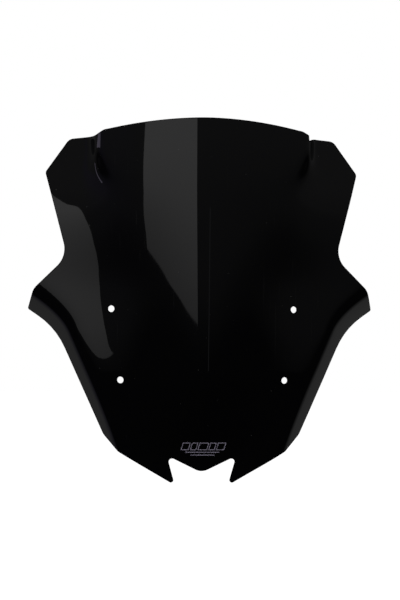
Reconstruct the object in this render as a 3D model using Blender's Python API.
"""Windshield screen for a motorcycle: one sheet of black acrylic, cut, drilled and formed over a mould.

Frame: +Z up along the straight upper part of the screen, the front faces -Y, and X = 0 is its middle plane.
The origin is midway between the four screw seats on the back, which hold the screen on its bracket.
The shape is worked out in millimetres, with z from the tips of the prongs, and the mesh is made in metres.
"""

import math

import bmesh
import bpy
from mathutils import Vector
from mathutils.geometry import delaunay_2d_cdt

MM = 0.001

# Sheet
THICKNESS = 3.0

# Screw holes: M5 screws in rubber well nuts, on flats that the nuts' flanges seat against
HOLE_RADIUS = 4.0
SEAT_RADIUS = 9.0
SEAT_MARGIN = 0.5
SEAT_BLEND = 8.0
HOLE_SIDES = 24
HOLES = {
    "upper": (109.6, 207.1),
    "lower": (98.4, 122.5),
}

# Top rim
RIM_HEIGHT = 433.6
RIM_RADIUS = 545.0
RIM_HALF_WIDTH = 112.0

# One side of the cut outline, from the rim down to the middle of the lower edge: x, z, corner radius
SHOULDER = (119.5, 420.6, 14.0)
STEP_FOOT = (130.5, 413.6, 10.0)
EAR_TOP = (159.8, 411.0, 11.0)
EAR_CORNER = (188.4, 370.8, 6.0)
WAIST = (162.0, 269.6, 28.0)
WING_SHOULDER = (202.1, 230.6, 20.0)
WING_TIP = (208.6, 206.3, 3.0)
LOWER_FLARE = (174.9, 183.5, 90.0)
CHIN = (117.9, 57.3, 20.0)
CHIN_CORNER = (100.5, 36.8, 10.0)
PRONG_TIP = (31.7, -3.4, 3.0)
NOTCH_TOP = (41.7, 32.2, 4.0)
TONGUE_TIP = (0.0, 11.75, 17.0)
SIDE = (
    SHOULDER,
    STEP_FOOT,
    EAR_TOP,
    EAR_CORNER,
    WAIST,
    WING_SHOULDER,
    WING_TIP,
    LOWER_FLARE,
    CHIN,
    CHIN_CORNER,
    PRONG_TIP,
    NOTCH_TOP,
)
# The trimmer leaves a small nick at the foot of the right-hand step
NICK = (
    (127.2, 416.3, 0.4),
    (128.2, 408.5, 0.8),
    (131.6, 411.0, 1.5),
    (135.4, 412.9, 6.0),
)

# Formed shape
BASE_CURVE = 0.00064
BUBBLE_HEIGHT = 37.3
BUBBLE_SPREAD = 77.3
BUBBLE_NARROWING = 0.068
NARROWS_BELOW = 347.4
NOSE_FOOT = 5.0
NOSE_TOP = 133.8
CREASE_SLOPE = 0.082
CREASE_RADIUS = 6.0
CREASE_REACH = 60.0
CREASE_FOOT = 60.0
CREASE_TOP = 110.0
FLANK_LEAN = 0.041
FLANK_REACH = 76.0
LEANS_BELOW = 239.6
EAR_LEAN = 0.28
EAR_STARTS = 345.0
EAR_BEND = 16.0
WALL_PLACE = 132.0
WALL_LEAN = 0.35
WALL_BEND_AT = 372.0
WALL_BEND = 14.0
WALL_SHARP = 4.0
WALL_SOFT = 20.0
WALL_FADES_BELOW = 400.0
BEND_PLACE = 96.2
BEND_LEAN = 0.434
WING_STARTS = 180.0
WING_RISE = 44.0
WING_SWEEP = 23.0
WING_BEND = 6.0
FLANGE_SLOPE = 0.66
FLANGE_BEND = 6.5
SLOW_BEND = 30.0

# Mesh
COARSE_STEP = 10.0
FINE_STEP = 3.6
EDGE_STEP = 7.0
EDGE_GAP = 0.45
SEAT_GAP = 0.4
FINE_REACH = 16.0
ROW_PITCH = 0.866
RIM_PARTS = 24
ARC_TURN = 15.0
ARC_STEP = 9.0
SMOOTH_BELOW = 40.0


def ramp(low, high, value):
    """0 below low, 1 above high, and a smooth rise between them."""
    t = min(max((value - low) / (high - low), 0.0), 1.0)
    return t * t * (3.0 - 2.0 * t)


def ease(value, radius):
    """0 well below zero, value well above it, and a round bend between them."""
    return 0.5 * (value + math.hypot(value, radius))


def bubble(x, z):
    """How far the middle stands forward: a bow that narrows and sinks towards the nose."""
    spread = BUBBLE_SPREAD - BUBBLE_NARROWING * ease(NARROWS_BELOW - z, SLOW_BEND)
    height = BUBBLE_HEIGHT * ramp(NOSE_FOOT, NOSE_TOP, z)
    return height * math.exp(-x * x / (2.0 * spread * spread))


def crease(x, z):
    """The soft ridge down the middle, which fades out above the tongue."""
    slope = CREASE_SLOPE * ramp(CREASE_FOOT, CREASE_TOP, z)
    fade = math.exp(-((x / CREASE_REACH) ** 2))
    return slope * (math.hypot(x, CREASE_RADIUS) - CREASE_RADIUS) * fade


def flank(x, z):
    """How far each side stands forward where it leans out below the upper screws."""
    side = 1.0 - math.exp(-((x / FLANK_REACH) ** 4))
    return FLANK_LEAN * ease(LEANS_BELOW - z, SLOW_BEND) * side


def wall_place(z):
    """Distance of the step from the middle: upright at the rim, then leaning in as it fades."""
    return WALL_PLACE - WALL_LEAN * ease(WALL_BEND_AT - z, WALL_BEND)


def ear(x, z):
    """How far each top corner lies behind the bubble."""
    soft = 1.0 - ramp(EAR_STARTS - EAR_BEND, WALL_FADES_BELOW, z)
    sharp = WALL_SHARP + (WALL_SOFT - WALL_SHARP) * soft
    side = 0.5 * (1.0 + math.tanh((abs(x) - wall_place(z)) / sharp))
    return EAR_LEAN * ease(z - EAR_STARTS, EAR_BEND) * side


def bend_place(z):
    """Distance from the middle of the line along which each lower edge is bent back."""
    swept = WING_SWEEP * (ease(z - WING_STARTS, WING_BEND) / WING_RISE) ** 2
    return BEND_PLACE + BEND_LEAN * (z - CHIN_CORNER[1]) + swept


def flange(x, z):
    """How far the lower edges are bent back."""
    lean = bend_place(z + 0.5) - bend_place(z - 0.5)
    beyond = (abs(x) - bend_place(z)) / math.hypot(1.0, lean)
    return FLANGE_SLOPE * ease(beyond, FLANGE_BEND)


def free_depth(x, z):
    """Depth of the front face at x, z before the screw seats are pressed flat."""
    raised = bubble(x, z) + flank(x, z)
    return BASE_CURVE * x * x - raised + crease(x, z) + ear(x, z) + flange(x, z)


def slopes(depth_at, x, z, reach=0.2):
    """Slopes of a depth function along x and along z."""
    along_x = depth_at(x + reach, z) - depth_at(x - reach, z)
    along_z = depth_at(x, z + reach) - depth_at(x, z - reach)
    return along_x / (2.0 * reach), along_z / (2.0 * reach)


SEATS = [(side * x, z) for side in (-1, 1) for x, z in HOLES.values()]
SEAT_PLANES = [(x, z, free_depth(x, z), *slopes(free_depth, x, z)) for x, z in SEATS]


def depth(x, z):
    """Depth of the front face at x, z, flat round each screw hole."""
    value = free_depth(x, z)
    for seat_x, seat_z, seat_depth, along_x, along_z in SEAT_PLANES:
        away = math.hypot(x - seat_x, z - seat_z)
        free = ramp(SEAT_RADIUS + SEAT_MARGIN, SEAT_RADIUS + SEAT_BLEND, away)
        plane = seat_depth + along_x * (x - seat_x) + along_z * (z - seat_z)
        value = plane + (value - plane) * free
    return value


def rounded(corners):
    """Points of an open run of corners, each replaced by an arc of its own radius."""
    points = [Vector(corners[0][:2])]
    for before, corner, after in zip(corners, corners[1:], corners[2:]):
        at = Vector(corner[:2])
        back = (Vector(before[:2]) - at).normalized()
        ahead = (Vector(after[:2]) - at).normalized()
        half = 0.5 * back.angle(ahead)
        centre = at + (back + ahead).normalized() * corner[2] / math.sin(half)
        start = at + back * corner[2] / math.tan(half) - centre
        end = at + ahead * corner[2] / math.tan(half) - centre
        turn = start.angle_signed(end)
        arcs = max(2, round(abs(turn) / math.radians(ARC_TURN)), round(abs(turn) * corner[2] / ARC_STEP))
        for i in range(arcs + 1):
            angle = -turn * i / arcs
            along = Vector((
                start.x * math.cos(angle) - start.y * math.sin(angle),
                start.x * math.sin(angle) + start.y * math.cos(angle),
            ))
            points.append(centre + along)
    points.append(Vector(corners[-1][:2]))
    return points


def rim():
    """Points of the top rim's arc, from the left end to the right end."""
    reach = math.asin(RIM_HALF_WIDTH / RIM_RADIUS)
    angles = [-reach + 2.0 * reach * i / RIM_PARTS for i in range(RIM_PARTS + 1)]
    low = RIM_HEIGHT - RIM_RADIUS
    return [Vector((RIM_RADIUS * math.sin(a), low + RIM_RADIUS * math.cos(a))) for a in angles]


def outline():
    """The closed cut outline, clockwise from the left end of the rim."""
    top = rim()
    right = [SIDE[0], *NICK, *SIDE[2:]]
    left = [(-x, z, r) for x, z, r in reversed(SIDE)]
    run = [(*top[-1], 0.0), *right, TONGUE_TIP, *left, (*top[0], 0.0)]
    return top[:-1] + rounded(run)[:-1]


def spaced(points, step):
    """The closed run of points with long stretches divided."""
    result = []
    for start, end in zip(points, points[1:] + points[:1]):
        parts = max(1, round((end - start).length / step))
        result += [start.lerp(end, i / parts) for i in range(parts)]
    return result


def circle(centre, radius):
    """Points round a circle."""
    turns = [2.0 * math.pi * i / HOLE_SIDES for i in range(HOLE_SIDES)]
    return [Vector(centre) + radius * Vector((math.cos(a), math.sin(a))) for a in turns]


def inside(point, loop):
    """Whether a point lies inside a closed loop."""
    found = False
    for a, b in zip(loop, loop[1:] + loop[:1]):
        if (a.y > point.y) != (b.y > point.y):
            found ^= point.x < a.x + (b.x - a.x) * (point.y - a.y) / (b.y - a.y)
    return found


def clearance(point, loop):
    """Distance from a point to a closed loop."""
    nearest = math.inf
    for a, b in zip(loop, loop[1:] + loop[:1]):
        along = b - a
        share = min(max((point - a).dot(along) / along.length_squared, 0.0), 1.0)
        nearest = min(nearest, (a + along * share - point).length)
    return nearest


def needs_fine(x, z):
    """Whether the sheet bends tightly here: at the steps of the top corners."""
    return z > EAR_STARTS and abs(abs(x) - wall_place(z)) < FINE_REACH


def lattice(step):
    """Points of a triangular grid over the whole sheet."""
    rows = math.ceil(RIM_HEIGHT / (step * ROW_PITCH))
    half = math.ceil(WING_TIP[0] / step)
    return [
        Vector(((column + 0.5 * (row % 2)) * step, row * step * ROW_PITCH))
        for row in range(rows + 1)
        for column in range(-half - 1, half + 1)
    ]


def inner_points(edge):
    """Mesh points between the edges, closer together where the sheet bends tightly."""
    result = []
    for step, fine in ((COARSE_STEP, False), (FINE_STEP, True)):
        for point in lattice(step):
            if needs_fine(*point) != fine or not inside(point, edge):
                continue
            from_seats = min((point - Vector(seat)).length for seat in SEATS)
            if clearance(point, edge) > EDGE_GAP * step and from_seats > SEAT_RADIUS + SEAT_GAP * step:
                result.append(point)
    return result


def flat_pattern():
    """Points and triangles of the drilled blank, seen from the front."""
    edge = spaced(outline(), EDGE_STEP)
    points = list(edge)
    links = [(i, (i + 1) % len(edge)) for i in range(len(edge))]
    for seat in SEATS:
        for radius in (HOLE_RADIUS, 0.5 * (HOLE_RADIUS + SEAT_RADIUS), SEAT_RADIUS):
            first = len(points)
            points += circle(seat, radius)
            links += [(first + i, first + (i + 1) % HOLE_SIDES) for i in range(HOLE_SIDES)]
    points += inner_points(edge)
    points, _, faces, *_ = delaunay_2d_cdt(points, links, [], 1, 1e-5)
    kept = []
    for face in faces:
        middle = sum((points[i] for i in face), Vector((0.0, 0.0))) / 3.0
        if all((middle - Vector(seat)).length > HOLE_RADIUS * 0.99 for seat in SEATS):
            kept.append(face)
    return points, kept


def front_point(x, z):
    """The point of the front face at x, z."""
    return Vector((x, depth(x, z), z))


def back_point(x, z):
    """The point of the back face behind it, one thickness away and square to the front face."""
    along_x, along_z = slopes(depth, x, z)
    return front_point(x, z) + Vector((-along_x, 1.0, -along_z)).normalized() * THICKNESS


def formed_sheet():
    """The closed body of the sheet: front face, back face and the cut edges between them."""
    points, faces = flat_pattern()
    origin = sum((back_point(*seat) for seat in SEATS), Vector()) / len(SEATS)
    mesh = bmesh.new()
    fronts = [mesh.verts.new((front_point(x, z) - origin) * MM) for x, z in points]
    backs = [mesh.verts.new((back_point(x, z) - origin) * MM) for x, z in points]
    for face in faces:
        mesh.faces.new([fronts[i] for i in face])
    mesh.verts.index_update()
    for edge in [edge for edge in mesh.edges if edge.is_boundary]:
        a, b = (vert.index for vert in edge.verts)
        mesh.faces.new((fronts[a], fronts[b], backs[b], backs[a]))
    for face in faces:
        mesh.faces.new([backs[i] for i in reversed(face)])
    bmesh.ops.triangulate(mesh, faces=mesh.faces)
    bmesh.ops.recalc_face_normals(mesh, faces=mesh.faces)
    return mesh


def gloss_black():
    """Polished black acrylic."""
    material = bpy.data.materials.new("gloss_black_acrylic")
    material.use_nodes = True
    shader = material.node_tree.nodes["Principled BSDF"]
    shader.inputs["Base Color"].default_value = (0.004, 0.004, 0.005, 1.0)
    shader.inputs["Roughness"].default_value = 0.06
    shader.inputs["Metallic"].default_value = 0.0
    return material


def main():
    for old in list(bpy.data.objects):
        bpy.data.objects.remove(old)
    shape = formed_sheet()
    mesh = bpy.data.meshes.new("screen_sheet")
    shape.to_mesh(mesh)
    shape.free()
    mesh.shade_smooth()
    mesh.set_sharp_from_angle(angle=math.radians(SMOOTH_BELOW))
    mesh.materials.append(gloss_black())
    screen = bpy.data.objects.new("screen_sheet", mesh)
    bpy.context.scene.collection.objects.link(screen)


main()
